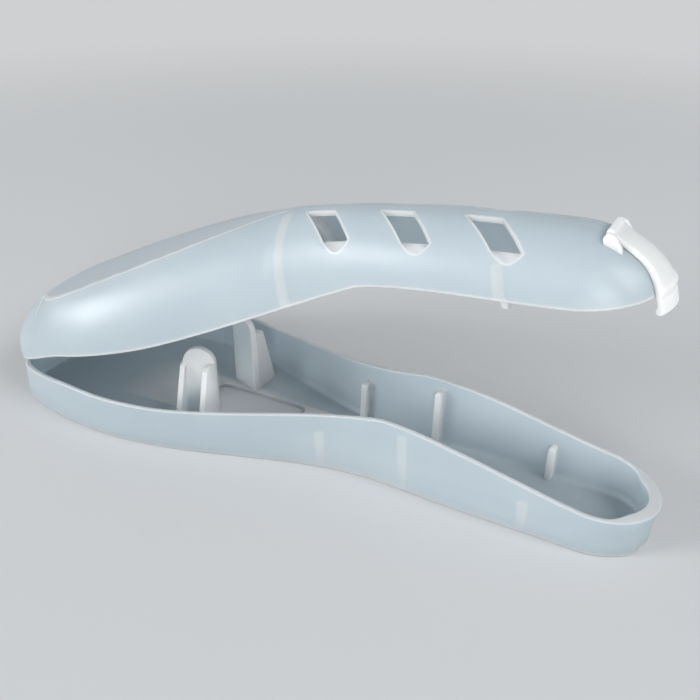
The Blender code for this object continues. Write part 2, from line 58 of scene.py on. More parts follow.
WAIST_STATION = 122 * MM
WAIST_HALF = 13.7 * MM
GRIP_STATION = 146 * MM
GRIP_HALF = 14.4 * MM
TAIL_ROUND = 17 * MM
TAIL_CENTRE = CASE_LENGTH - TAIL_ROUND
RIM_NOSE = 10.6 * MM
RIM_HEAD = 13.7 * MM
RIM_HIP = 21.3 * MM
RIM_TAIL = 11.3 * MM
RIM_NOSE_END = 5 * MM
RIM_HEAD_START = 33 * MM
RIM_HEAD_END = 59 * MM
RIM_HIP_STATION = 124 * MM
RIM_SWEEP = 1.5
TRAY_WALL = 1.4 * MM
FLOOR_THICKNESS = 1.4 * MM
TRAY_DRAFT = 1.6 * MM
NOSE_DRAFT = -0.5 * MM
NOSE_DRAFT_END = 44 * MM
TAIL_DRAFT = 0.9 * MM
TAIL_DRAFT_RUN = 25 * MM
FOOT_ROUND = 0.7 * MM
RIM_ROUND = 0.4 * MM
FLOOR_FILLET = 1.7 * MM
LIP_HEIGHT = 1.6 * MM
LEDGE = 1.8 * MM
LEDGE_TURN = (math.radians(22), math.radians(54))
UNDERCUT = 0.6 * MM
UNDERCUT_TURN = (math.radians(58), math.radians(69))
SLOT_START = 56.5 * MM
SLOT_END = 88 * MM
SLOT_HALF = 8.6 * MM
SLOT_CORNER = 3 * MM
SLOT_ROUND = 0.35 * MM
TRAY_RIBS = (
    ("front", 105.8 * MM, 4.9 * MM),
    ("middle", 129.8 * MM, 2.7 * MM),
    ("rear", 162.8 * MM, 4.4 * MM),
)
LEAST_CORNER = 0.3 * MM
WALL_LINE_LOW = 6 * MM
WALL_LINE_HIGH = 3.5 * MM
CORNER_STEPS = 14
BODY_STEPS = 230
TAIL_STEPS = 32
ROUND_STEPS = 4
FILLET_STEPS = 6
SLOT_STEPS = 10
SOFT_STEPS = 2
WELD = 0.002 * MM
SHADED_SHARP = math.radians(50)
# Painted highlight along sharp edges and bright points: its reach, the spacing at which edges are
# sampled for it, and further down its strength.
HIGHLIGHT_REACH = 1.3 * MM
EDGE_SAMPLE = 0.5 * MM
# Painted light: lighter bands on the wall over the ribs behind it. These are their reach and the
# levels and offsets at which they are sampled, and further down their strength.
RIB_BAND_REACH = 1.6 * MM
BACKED_LEVELS = 40
BAND_OFFSETS = (-0.9 * MM, -0.3 * MM, 0.3 * MM, 0.9 * MM)
EDGE_HIGHLIGHT = 0.95
RIB_LIGHT_BAND = 0.4
CLOUD_WHITE = 0.4
FLOW_WHITE = 0.2
CLOUD_SATIN = 0.12
FLOW_SATIN = 0.06
FLOW_SCALE = (14.0, 170.0, 170.0)
GRAIN_SHARE = 0.6
FLOW_SHARE = 0.4
GRAIN_DEPTH = 0.03 * MM
SCATTER_DEPTH = 3 * MM
MIX_SHARE = 0
MIX_FIRST = 6
MIX_SECOND = 7
MIX_COLOUR = 2


def ease(value, start, end):
    """0 before start, 1 after end, and a smooth step between."""
    share = min(max((value - start) / (end - start), 0.0), 1.0)
    return share * share * (3 - 2 * share)


def mix(first, second, share):
    return first + (second - first) * share


def rim_height(station):
    """Height of the parting line."""
    if station < RIM_HEAD_END:
        return mix(RIM_NOSE, RIM_HEAD, ease(station, RIM_NOSE_END, RIM_HEAD_START))
    if station < RIM_HIP_STATION:
        share = (station - RIM_HEAD_END) / (RIM_HIP_STATION - RIM_HEAD_END)
        return mix(RIM_HEAD, RIM_HIP, share**RIM_SWEEP)
    return mix(RIM_HIP, RIM_TAIL, ease(station, RIM_HIP_STATION, CASE_LENGTH))


def lean(station, height):
    """How far the tray wall has drawn in at a height."""
    foot = mix(NOSE_DRAFT, TRAY_DRAFT, ease(station, 0, NOSE_DRAFT_END))
    foot = mix(foot, TAIL_DRAFT, ease(station, CASE_LENGTH - TAIL_DRAFT_RUN, CASE_LENGTH))
    return foot * (1 - height / rim_height(station))


def body_half(station, inset, nose):
    """Half width up to the round tail, for a loop whose nose is at the given station."""
    if station < HEAD_STATION:
        share = (HEAD_STATION - station) / (HEAD_STATION - nose)
        half = HEAD_HALF - (HEAD_HALF - NOSE_HALF) * share * share
    elif station < WAIST_STATION:
        half = mix(HEAD_HALF, WAIST_HALF, ease(station, HEAD_STATION, WAIST_STATION))
    else:
        half = mix(WAIST_HALF, GRIP_HALF, ease(station, WAIST_STATION, GRIP_STATION))
    return half - inset


def plan_half(station, inset=0.0):
    """Half width at any station, round tail included."""
    if station <= TAIL_CENTRE:
        return body_half(station, inset, inset)
    share = min((station - TAIL_CENTRE) / (TAIL_ROUND - inset), 1.0)
    return (GRIP_HALF - inset) * math.sqrt(1 - share * share)


def tray_ring(inset, level, lip=0.0, turn=LEDGE_TURN):
    """A closed loop round the tray, moved in by inset, and by lip over a turn of the tail."""
    nose = inset + lean(0, level(0))
    corner = max(NOSE_CORNER - nose, LEAST_CORNER)
    near = []
    for step in range(CORNER_STEPS):
        angle = math.radians(90) * step / CORNER_STEPS
        station = nose + corner * (1 - math.cos(angle))
        half = body_half(station, inset + lean(station, level(station)), nose)
        near.append((station, corner * (1 - math.sin(angle)) - half, level(station)))
    for step in range(BODY_STEPS):
        station = mix(nose + corner, TAIL_CENTRE, step / BODY_STEPS)
        half = body_half(station, inset + lean(station, level(station)), nose)
        near.append((station, -half, level(station)))
    for step in range(TAIL_STEPS):
        angle = math.radians(90) * step / TAIL_STEPS
        outer = TAIL_CENTRE + TAIL_ROUND * math.sin(angle)
        moved = inset + lip * ease(angle, *turn) + lean(outer, level(outer))
        station = TAIL_CENTRE + (TAIL_ROUND - moved) * math.sin(angle)
        near.append((station, (moved - GRIP_HALF) * math.cos(angle), level(station)))
    end = CASE_LENGTH - inset - lip - lean(CASE_LENGTH, level(CASE_LENGTH))
    tip = [(end, 0.0, level(end))]
    return near + tip + [(x, -y, z) for x, y, z in near[::-1]]


def quarter(radius, steps=ROUND_STEPS):
    """(run, rise) from the start of a quarter round, where it runs level, to its upright end."""
    angles = [math.radians(90) * step / steps for step in range(steps + 1)]
    return [(radius * math.sin(a), radius * (1 - math.cos(a))) for a in angles]


def above_base(height):
    """A level for tray_ring: the same height all round."""
    return lambda station: height


def below_rim(drop):
    """A level for tray_ring: a drop below the parting line."""
    return lambda station: rim_height(station) - drop


def slot_ring(outset, height):
    """The drain slot's outline with round corners."""
    radius = SLOT_CORNER + outset
    loop = []
    for x, y, first in (
        (SLOT_START + SLOT_CORNER, SLOT_CORNER - SLOT_HALF, 180),
        (SLOT_END - SLOT_CORNER, SLOT_CORNER - SLOT_HALF, 270),
        (SLOT_END - SLOT_CORNER, SLOT_HALF - SLOT_CORNER, 0),
        (SLOT_START + SLOT_CORNER, SLOT_HALF - SLOT_CORNER, 90),
    ):
        for step in range(SLOT_STEPS + 1):
            angle = math.radians(first + 90 * step / SLOT_STEPS)
            loop.append((x + radius * math.cos(angle), y + radius * math.sin(angle), height))
    return loop


def lofted(rings):
    """Vertices, and the faces between each closed ring and the next."""
    verts = [point for ring in rings for point in ring]
    faces = []
    first = 0
    for ring in rings[:-1]:
        size = len(ring)
        for i in range(size):
            j = (i + 1) % size
            faces.append((first + i, first + j, first + size + j, first + size + i))
        first += size
    return verts, faces


def annulus(outer, first_outer, inner, first_inner):
    """Flat faces between an outline and a hole in it, given where each starts in the vertices."""
    loops = [[Vector(p) for p in outer], [Vector(p) for p in inner]]
    size = len(outer)
    indices = [first_outer + i for i in range(size)]
    indices += [first_inner + i for i in range(len(inner))]
    return [tuple(indices[i] for i in face) for face in tessellate_polygon(loops)]


def sharp_edges(body, limit):
    return [e for e in body.edges if len(e.link_faces) == 2 and e.calc_face_angle() > limit]


def nearness(points, reach):
    """A lookup of how near a place is to the points: 1 on them, and 0 past the reach."""
    tree = kdtree.KDTree(len(points))
    for index, point in enumerate(points):
        tree.insert(point, index)
    tree.balance()
    return lambda place: max(1 - tree.find(place)[2] / reach, 0.0) if points else 0.0


def mould(name, verts, faces, soften, limit, bright=(), backed=(), swing=None, border=0.0):
    """A finished piece. Softens the edges that turn by more than the limit in degrees. Notes how
    near each point is to one of them or to the bright points, for a painted highlight, and to the
    points of the wall where a rib stands behind it, for a painted lighter band. A border puts a ring
    of points inside each wide convex face, so that its edge can be marked with the painted
    highlight, and a swing opens the piece with the lid."""
    body = bmesh.new()
    made = [body.verts.new(Vector(v) - ORIGIN) for v in verts]
    for face in faces:
        corners = [made[i] for i in face]
        if len(set(corners)) > 2:
            body.faces.new(corners)
    bmesh.ops.remove_doubles(body, verts=body.verts, dist=WELD)
    bmesh.ops.dissolve_degenerate(body, edges=body.edges, dist=WELD / 2)
    bmesh.ops.recalc_face_normals(body, faces=body.faces)
    sharp = sharp_edges(body, math.radians(limit))
    lit = [Vector(p) - ORIGIN for p in bright]
    for edge in sharp:
        a, b = (v.co.copy() for v in edge.verts)
        count = max(int((b - a).length / EDGE_SAMPLE), 1)
        lit += [a.lerp(b, i / count) for i in range(count + 1)]
    if border:
        wide = [f for f in body.faces if f.calc_area() > border * f.calc_perimeter()]
        wide = [f for f in wide if all(loop.is_convex for loop in f.loops)]
        bmesh.ops.inset_individual(body, faces=wide, thickness=border, use_even_offset=True)
    if soften:
        bmesh.ops.bevel(
            body,
            geom=sharp,
            offset=soften,
            segments=SOFT_STEPS,
            profile=0.5,
            affect="EDGES",
            clamp_overlap=True,
        )
    # Nearness to the sharp edges and bright points, for the painted highlight, and to the rib points,
    # for the painted lighter band.
    at_edge = nearness(lit, HIGHLIGHT_REACH)
    at_rib = nearness([Vector(p) - ORIGIN for p in backed], RIB_BAND_REACH)
    marks = {"edge": [at_edge(v.co) for v in body.verts], "rib": [at_rib(v.co) for v in body.verts]}
    if swing:
        bmesh.ops.transform(body, matrix=swing, verts=body.verts)
    mesh = bpy.data.meshes.new(name)
    body.to_mesh(mesh)
    body.free()
    for mark, values in marks.items():
        mesh.attributes.new(mark, "FLOAT", "POINT").data.foreach_set("value", values)
    mesh.shade_smooth()
    mesh.set_sharp_from_angle(angle=SHADED_SHARP)
    thing = bpy.data.objects.new(name, mesh)
    bpy.context.scene.collection.objects.link(thing)
    return thing


class Wire:
    """A socket of a finish. Sums on it add the nodes that work them out."""

    def __init__(self, tree, socket=None):
        self.tree = tree
        self.socket = socket

    def node(self, kind, settings=(), inlets=(), outlet=0):
        """Adds a node, with its settings first and then its inlets, and gives one outlet."""
        made = self.tree.nodes.new("ShaderNode" + kind)
        for name, value in dict(settings).items():
            setattr(made, name, value)
        for name, value in dict(inlets).items():
            if isinstance(value, Wire):
                self.tree.links.new(value.socket, made.inputs[name])
            else:
                made.inputs[name].default_value = value
        return Wire(self.tree, made.outputs[outlet]) if made.outputs else None

    def noise(self, place, scale, detail, roughness):
        inlets = {"Vector": place, "Scale": scale, "Detail": detail, "Roughness": roughness}
        return self.node("TexNoise", inlets=inlets)

    def mark(self, name, low, high):
        """A mark of the mesh as a crisp mask: 0 up to low and 1 from high."""
        raw = self.node("Attribute", {"attribute_name": name}, outlet="Fac")
        limits = {"Value": raw, "From Min": low, "From Max": high}
        return self.node("MapRange", {"interpolation_type": "SMOOTHSTEP"}, limits)

    def sum(self, operation, first, second):
        return self.node("Math", {"operation": operation}, {0: first, 1: second})

    def __add__(self, other):
        return self.sum("ADD", self, other)

    __radd__ = __add__

    def __sub__(self, other):
        return self.sum("SUBTRACT", self, other)

    def __rsub__(self, other):
        return self.sum("SUBTRACT", other, self)

    def __mul__(self, other):
        return self.sum("MULTIPLY", self, other)

    __rmul__ = __mul__


def polypropylene(name, body, bright, clear, scatter, roughness):
    """Milky clear plastic with a satin skin, with painted highlights: whiter at its edges where light
    gathers, and over the ribs behind it.
    """
    finish = bpy.data.materials.new(name)
    finish.use_nodes = True
    finish.node_tree.nodes.clear()
    paint = Wire(finish.node_tree)
    place = paint.node("TexCoord", outlet="Object")
    cloud = paint.noise(place, scale=45.0, detail=3.0, roughness=0.5)
    along = paint.node("Mapping", inlets={"Vector": place, "Scale": FLOW_SCALE})
    flow = paint.noise(along, scale=1.0, detail=3.0, roughness=0.55)
    grain = paint.noise(place, scale=2400.0, detail=2.0, roughness=0.6)
    # Painted highlight: white lines along the sharp edges, rims and creases, where light gathers.
    line = paint.mark("edge", low=0.45, high=0.8)
    # Painted light: lighter bands over the ribs behind the wall.
    band = paint.mark("rib", low=0.45, high=0.85)
    mottle = (cloud - 0.5) * CLOUD_WHITE
    streak = (flow - 0.5) * FLOW_WHITE
    # The plastic's own cloudy, streaky tone, plus the painted edge highlights and rib bands.
    mottle_and_highlight = line * EDGE_HIGHLIGHT + band * RIB_LIGHT_BAND + mottle + streak
    colours = {MIX_SHARE: mottle_and_highlight, MIX_FIRST: (*body, 1), MIX_SECOND: (*bright, 1)}
    tint = paint.node("Mix", {"data_type": "RGBA"}, colours, MIX_COLOUR)
    satin = roughness + (cloud - 0.5) * CLOUD_SATIN + (flow - 0.5) * FLOW_SATIN
    height = grain * GRAIN_SHARE + flow * FLOW_SHARE
    relief = {"Strength": 0.25, "Distance": GRAIN_DEPTH, "Height": height}
    normal = paint.node("Bump", inlets=relief)
    skin = paint.node(
        "BsdfPrincipled",
        {"subsurface_method": "RANDOM_WALK"},
        {
            "Base Color": tint,
            "Roughness": satin,
            "IOR": 1.49,
            "Normal": normal,
            "Transmission Weight": clear,
            "Subsurface Weight": scatter,
            "Subsurface Radius": (1.0, 1.05, 1.1),
            "Subsurface Scale": SCATTER_DEPTH,
        },
    )
    paint.node("OutputMaterial", inlets={"Surface": skin})
    return finish


def dress(thing, finish, body, node):
    """Gives a piece its finish and its body unless it is blended, and hides the solid it stands for.
    """
    thing.data.materials.append(finish)
    if body:
        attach(thing, body)
    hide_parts(node)


frosted = polypropylene(
    "frosted_shell",
    body=(0.64, 0.73, 0.785),
    bright=(0.98, 0.99, 0.99),
    clear=0.5,
    scatter=0.35,
    roughness=0.38,
)

rings = []
for run, rise in quarter(FOOT_ROUND):
    rings.append(tray_ring(FOOT_ROUND - run, above_base(rise), UNDERCUT, UNDERCUT_TURN))
foot_line = rings[2]
for drop in (WALL_LINE_LOW, WALL_LINE_HIGH, LIP_HEIGHT + UNDERCUT):
    rings.append(tray_ring(0.0, below_rim(drop), UNDERCUT, UNDERCUT_TURN))
rings.append(tray_ring(0.0, below_rim(LIP_HEIGHT)))
rings.append(tray_ring(0.0, below_rim(LIP_HEIGHT / 2)))
for run, rise in quarter(RIM_ROUND):
    rings.append(tray_ring(rise, below_rim(RIM_ROUND - run)))
rim_edges = [rings[-1]]
for run, rise in quarter(RIM_ROUND):
    rings.append(tray_ring(TRAY_WALL - RIM_ROUND + run, below_rim(rise), LEDGE))
rim_edges.append(rings[-ROUND_STEPS - 1])
rings.append(tray_ring(TRAY_WALL, below_rim(LIP_HEIGHT / 2), LEDGE))
rings.append(tray_ring(TRAY_WALL, below_rim(LIP_HEIGHT), LEDGE))
rings.append(tray_ring(TRAY_WALL, below_rim(LIP_HEIGHT + LEDGE - UNDERCUT), UNDERCUT, UNDERCUT_TURN))
rings.append(tray_ring(TRAY_WALL, below_rim(WALL_LINE_LOW), UNDERCUT, UNDERCUT_TURN))
for run, rise in quarter(FLOOR_FILLET, FILLET_STEPS):
    height = FLOOR_THICKNESS + FLOOR_FILLET - run
    rings.append(tray_ring(TRAY_WALL + rise, above_base(height), UNDERCUT, UNDERCUT_TURN))
verts, faces = lofted(rings)
slots = [slot_ring(SLOT_ROUND - run, FLOOR_THICKNESS - rise) for run, rise in quarter(SLOT_ROUND)]
slots += [slot_ring(rise, SLOT_ROUND - run) for run, rise in quarter(SLOT_ROUND)]
slot_verts, slot_faces = lofted(slots)
first = len(verts)
faces += [tuple(first + i for i in face) for face in slot_faces]
faces += annulus(rings[-1], first - len(rings[-1]), slots[0], first)
faces += annulus(rings[0], 0, slots[-1], first + len(slot_verts) - len(slots[-1]))
# Painted highlights: white lines along both edges of the rim's top, round the foot, and round the
# drain slot's top and bottom.
bright = [p for ring in rim_edges + [foot_line, slots[0], slots[-1]] for p in ring]
# Painted light: points on the wall, inside and out, over each rib, for lighter bands where the ribs
# show through it.
backed = []
for _, station, drop in TRAY_RIBS:
    for side in (-1, 1):
        for level in range(BACKED_LEVELS):
            share = level / (BACKED_LEVELS - 1)
            height = mix(FLOOR_THICKNESS, rim_height(station) - drop, share)
            for inset in (0.0, TRAY_WALL):
                for offset in BAND_OFFSETS:
                    x = station + offset
                    backed.append((x, side * plan_half(x, inset + lean(x, height)), height))
tray = mould("tray", verts + slot_verts, faces, 0.0, limit=80, bright=bright, backed=backed)
dress(tray, frosted, "tray", "tray_shell")

# Cradle posts: a pair moulded on the floor, one at each side of the drain slot, with a cradle
# between them. Each is a tombstone plate, turned to close in on the tail, with two buttresses on
# its outer side.
POST_STATION = 63.6 * MM
POST_CENTRE = 10.3 * MM
POST_TURN = math.radians(18)
POST_WIDTH = 10.0 * MM
POST_TOP_WIDTH = 9.6 * MM
POST_THICKNESS = 1.8 * MM
POST_HEIGHT = 25.6 * MM
POST_SOFT = 0.35 * MM
POST_BORDER = 0.8 * MM
GUSSET_THICKNESS = 1.7 * MM
GUSSET_TOP = 21 * MM
GUSSET_OUT = 14 * MM
GUSSET_FOOT_OUT = 19.3 * MM
GUSSET_CHAMFER = 1.0 * MM
GUSSET_ROOT_SHARE = {-1: 0.5, 1: 0.85}
SINK = 0.2 * MM
POST_FOOT = FLOOR_THICKNESS - SINK
POST_STEPS = 24


def arc(centre_x, centre_z, radius, first, last, steps):
    """Points round a centre, angles in degrees."""
    angles = [math.radians(mix(first, last, i / steps)) for i in range(steps + 1)]
    return [(centre_x + radius * math.cos(a), centre_z + radius * math.sin(a)) for a in angles]


def slab(outline, place, low, high):
    """A prism: place turns a point of the outline and a depth into a vertex."""
    count = len(outline)
    verts = [place(a, b, low) for a, b in outline] + [place(a, b, high) for a, b in outline]
    faces = [tuple(range(count)), tuple(range(count, 2 * count))]
    for i in range(count):
        j = (i + 1) % count
        faces.append((i, j, count + j, count + i))
    return verts, faces


def united(name, parts):
    """Vertices and faces of several prisms made one."""
    things = []
    for index, (verts, faces) in enumerate(parts):
        mesh = bpy.data.meshes.new(f"{name}_{index}")
        mesh.from_pydata(verts, [], faces)
        body = bmesh.new()
        body.from_mesh(mesh)
        bmesh.ops.recalc_face_normals(body, faces=body.faces)
        body.to_mesh(mesh)
        body.free()
        thing = bpy.data.objects.new(mesh.name, mesh)
        bpy.context.scene.collection.objects.link(thing)
        things.append(thing)
    for other in things[1:]:
        change = things[0].modifiers.new(other.name, "BOOLEAN")
        change.operation = "UNION"
        change.solver = "EXACT"
        change.object = other
    bpy.context.view_layer.update()
    final = things[0].evaluated_get(bpy.context.evaluated_depsgraph_get()).to_mesh()
    verts = [tuple(v.co) for v in final.vertices]
    faces = [tuple(p.vertices) for p in final.polygons]
    for thing in things:
        bpy.data.objects.remove(thing)
    return verts, faces


def plate_half(height):
    """Half width of a post's plate, which narrows to its round top."""
    crown = POST_HEIGHT - POST_TOP_WIDTH / 2
    return mix(POST_WIDTH, POST_TOP_WIDTH, (height - POST_FOOT) / (crown - POST_FOOT)) / 2


def gusset_out(height):
    """Distance of a buttress's sloping outer edge from the centre line."""
    share = (height - FLOOR_THICKNESS) / (GUSSET_TOP - FLOOR_THICKNESS)
    return mix(GUSSET_FOOT_OUT, GUSSET_OUT, share)


# Lighter than the shell's plastic. This is partly because the posts are thick, and partly painted
# light that makes up for the shade they stand in under the lid.
thick_painted_light = polypropylene(
    "thick_milky",
    body=(0.78, 0.85, 0.88),
    bright=(0.99, 0.99, 0.99),
    clear=0.3,
    scatter=0.5,
    roughness=0.42,
)

turn_cos = math.cos(POST_TURN)
turn_sin = math.sin(POST_TURN)


def post_place(side):
    """A place for slab: along the plate from its middle, up, and out from its inner face."""
    return lambda u, z, v: (
        POST_STATION + u * turn_cos + v * turn_sin,
        side * (POST_CENTRE - u * turn_sin + v * turn_cos),
        z,
    )


def gusset_place(side, end):
    """A place for slab: out from the centre line, up, and in from an end of the plate."""
    flush = POST_THICKNESS * turn_sin if end > 0 else 0.0
    return lambda y, z, d: (POST_STATION + flush + end * (plate_half(z) * turn_cos - d), side * y, z)


for word, side in (("near", -1), ("far", 1)):
    outline = [(-POST_WIDTH / 2, POST_FOOT), (POST_WIDTH / 2, POST_FOOT)]
    outline += arc(0, POST_HEIGHT - POST_TOP_WIDTH / 2, POST_TOP_WIDTH / 2, 0, 180, POST_STEPS)
    parts = [slab(outline, post_place(side), 0.0, POST_THICKNESS)]
    for end, depth in GUSSET_ROOT_SHARE.items():
        root = POST_CENTRE - end * POST_WIDTH / 2 * turn_sin + POST_THICKNESS * turn_cos * depth
        fin = [(root, POST_FOOT), (gusset_out(POST_FOOT), POST_FOOT)]
        fin.append((gusset_out(GUSSET_TOP - GUSSET_CHAMFER), GUSSET_TOP - GUSSET_CHAMFER))
        fin += [(gusset_out(GUSSET_TOP) - GUSSET_CHAMFER, GUSSET_TOP), (root, GUSSET_TOP)]
        parts.append(slab(fin, gusset_place(side, end), 0.0, GUSSET_THICKNESS))
    verts, faces = united("post", parts)
    post = mould(f"post_{word}", verts, faces, POST_SOFT, limit=25, border=POST_BORDER)
    dress(post, thick_painted_light, "tray", f"cradle_post_{word}")

# Tray ribs: three pairs of upright bars moulded on the inside of the tray's wall, which keep a
# channel down the middle of the grip. Each leans with the wall and has a chamfered top.
RIB_WIDTH = 2.0 * MM
RIB_REACH = 2.3 * MM
RIB_CHAMFER = 0.5 * MM
RIB_SOFT = 0.2 * MM
SEAT = 0.3 * MM

# Lighter than the shell's plastic. This is partly because the bars and webs are thick, and partly
# painted light that makes up for the shade inside the case.
ribbed = polypropylene(
    "ribbed_shell",
    body=(0.78, 0.85, 0.89),
    bright=(0.97, 0.985, 0.99),
    clear=0.4,
    scatter=0.4,
    roughness=0.38,
)

for word, side in (("near", -1), ("far", 1)):
    for place, station, drop in TRAY_RIBS:
        top = rim_height(station) - drop
        verts = []
        for height, chamfer in ((POST_FOOT, 0.0), (top - RIB_CHAMFER, 0.0), (top, RIB_CHAMFER)):
            for end in (-1, 1):
                x = station + end * (RIB_WIDTH / 2 - chamfer)
                wall = plan_half(x, TRAY_WALL + lean(x, height))
                verts.append((x, side * (wall + SINK), height))
                verts.append((x, side * (wall - SEAT - RIB_REACH + chamfer), height))
        faces = [(0, 1, 3, 2), (8, 9, 11, 10)]
        for low in (0, 4):
            for a, b in ((0, 1), (1, 3), (3, 2), (2, 0)):
                faces.append((low + a, low + b, low + 4 + b, low + 4 + a))
        rib = mould(f"tray_bar_{place}_{word}", verts, faces, RIB_SOFT, limit=25)
        dress(rib, ribbed, "tray", f"tray_rib_{place}_{word}")

# Lid: the domed upper half, of the same moulding. Its sides rise in arcs to a shield facet on
# the head, which narrows to a spine between three pairs of slanted vent windows.
RIM_GAP = 0.3 * MM
LID_WALL = 1.3 * MM
LEDGE_HEIGHT = 18.7 * MM
LEDGE_DEPTH = 0.6 * MM
CREST_STATION = 19 * MM
CREST_HEIGHT = 29.6 * MM
APEX_STATION = 102 * MM
APEX_HEIGHT = 39.6 * MM
SHOULDER_HEIGHT = 28.3 * MM
FACET_STATION = 33 * MM
FACET_HALF = 25.8 * MM
FACET_NOSE_HALF = 18.3 * MM
FACET_CROWN = 2.0 * MM
SPINE_HALF = 1.5 * MM
NOSE_SWEEP = 1.7
CREST_SWEEP = 1.35
TAIL_SWEEP = 1.6
FACET_SWEEP = 1.6
FACET_MARGIN = 0.5 * MM
LEAST_FALL = 1e-4
HEAD_TURN = math.radians(62)
GRIP_TURN = math.radians(88)
TURN_START = 63 * MM
LID_RIBS = (
    ("front", 104.2 * MM, 3.4 * MM, 0.95, 0.0),
    ("rear", 160.9 * MM, 2.6 * MM, 0.36, 2.2 * MM),
)
LID_RIB_STEPS = 12
BACKED_PARTS = (0.0, 0.33, 0.67)
WINDOW_COUNT = 3
WINDOW_START = 109.1 * MM
WINDOW_PITCH = 21.4 * MM
WINDOW_WIDTH = 8.2 * MM
WINDOW_FOOT_WIDTH = 7.2 * MM
WINDOW_SLANT = 7.6 * MM
WINDOW_INNER = 2.85 * MM
WINDOW_SILL = 9.6 * MM
WINDOW_FOOT = 10.7 * MM
WINDOW_SILL_BOW = 1.5 * MM
FIRST_WINDOW_SHORT = 0.5 * MM
SILL_SHARE = (WINDOW_SILL - WINDOW_INNER) / (WINDOW_FOOT - WINDOW_INNER)
WINDOW_FADE = 15 * MM
WINDOW_MARGIN = 1 * MM
FOOT_SHARE = 0.47
INNER_SHARE = 0.93
LOW_ROWS = 10
WINDOW_ROWS = 12
HIGH_ROWS = 3
FACET_ROWS = 6
COLUMN_SPACING = 0.8 * MM
LID_SOFT = 0.25 * MM
HINGE_STATION = -0.8 * MM
HINGE_HEIGHT = RIM_NOSE + RIM_GAP / 2
LID_OPEN = math.radians(16.75)

hinge = Vector((HINGE_STATION, 0, HINGE_HEIGHT)) - ORIGIN
swing = Matrix.Translation(hinge) @ Matrix.Rotation(-LID_OPEN, 4, "Y") @ Matrix.Translation(-hinge)


def crown_height(station):
    """Height of the closed lid's centre line, before the tail rounds it off."""
    if station < CREST_STATION:
        climb = max(station - LEDGE_DEPTH, 0) / (CREST_STATION - LEDGE_DEPTH)
        return CREST_HEIGHT - (CREST_HEIGHT - LEDGE_HEIGHT) * (1 - climb) ** NOSE_SWEEP
    if station < APEX_STATION:
        share = (APEX_STATION - station) / (APEX_STATION - CREST_STATION)
        return APEX_HEIGHT - (APEX_HEIGHT - CREST_HEIGHT) * share**CREST_SWEEP
    share = (station - APEX_STATION) / (TAIL_CENTRE - APEX_STATION)
    return APEX_HEIGHT - (APEX_HEIGHT - SHOULDER_HEIGHT) * share**TAIL_SWEEP


def facet_half(station):
    """Half width of the shield facet, which ends in the narrow spine."""
    if station < FACET_STATION:
        share = (FACET_STATION - max(station, CREST_STATION)) / (FACET_STATION - CREST_STATION)
        return mix(FACET_HALF, FACET_NOSE_HALF, share * share)
    share = min((station - FACET_STATION) / (APEX_STATION - FACET_STATION), 1.0)
    return max(FACET_HALF * (1 - share**FACET_SWEEP), SPINE_HALF)


def lid_arc(station, half, fall, inset):
    """The lid's cross-section at a station, as the sizes of its facet and its side arc. The
    fall is the share of its height that the round tail leaves."""
    base = rim_height(station) + RIM_GAP
    crown = base + (crown_height(station) - inset - base) * fall
    facet = min(facet_half(station) * fall, max(half - FACET_MARGIN * fall, 0.0))
    sag = FACET_CROWN * facet / FACET_HALF
    turn = mix(HEAD_TURN, GRIP_TURN, ease(station, TURN_START, APEX_STATION))
    across = (half - facet) / (1 - math.cos(turn))
    rise = (crown - sag - base) / math.sin(turn)
    return base, crown, facet, sag, turn, across, rise


def side_arc(station, inset, share):
    """Points (y, z) up the lid's side from its rim, over a share of its arc."""
    half = plan_half(station, inset)
    base, _, _, _, turn, across, rise = lid_arc(station, half, 1.0, inset)
    angles = [turn * share * step / LID_RIB_STEPS for step in range(LID_RIB_STEPS + 1)]
    return [(half - across * (1 - math.cos(a)), base + rise * math.sin(a)) for a in angles]


def spread(stops, spacing):
    """Numbers about a spacing apart, which hit each stop but the last and end just before it."""
    values = []
    for start, end in zip(stops, stops[1:]):
        count = max(round((end - start) / spacing), 1)
        values += [mix(start, end, i / count) for i in range(count)]
    return values


window_starts = [WINDOW_START + i * WINDOW_PITCH for i in range(WINDOW_COUNT)]
window_stops = [x for start in window_starts for x in (start, start + WINDOW_WIDTH)]
shift_stops = [(WINDOW_START - WINDOW_FADE, 0.0)]
for start in window_starts:
    shift_stops.append((start, WINDOW_SLANT))
    shift_stops.append((start + WINDOW_WIDTH, WINDOW_SLANT + WINDOW_FOOT_WIDTH - WINDOW_WIDTH))
shift_stops.append((TAIL_CENTRE, 0.0))


def foot_shift(station):
    """How far a cross line of the mesh moves to the tail at the windows' feet, to slant with them."""
    for (start, low), (end, high) in zip(shift_stops, shift_stops[1:]):
        if start <= station <= end:
            return mix(low, high, (station - start) / (end - start))
    return 0.0


def foot_bow(station):
    """How far the foot of a window bows out past its corners."""
    for start in window_starts:
        share = (station - start) / WINDOW_WIDTH
        if 0 < share < 1:
            return WINDOW_SILL_BOW * 4 * share * (1 - share)
    return 0.0


def arc_angle(across_y, half, across):
    """Angle of the side arc, from the rim, at a distance from the centre line."""
    return math.acos(min(max(1 - (half - across_y) / across, -1.0), 1.0))


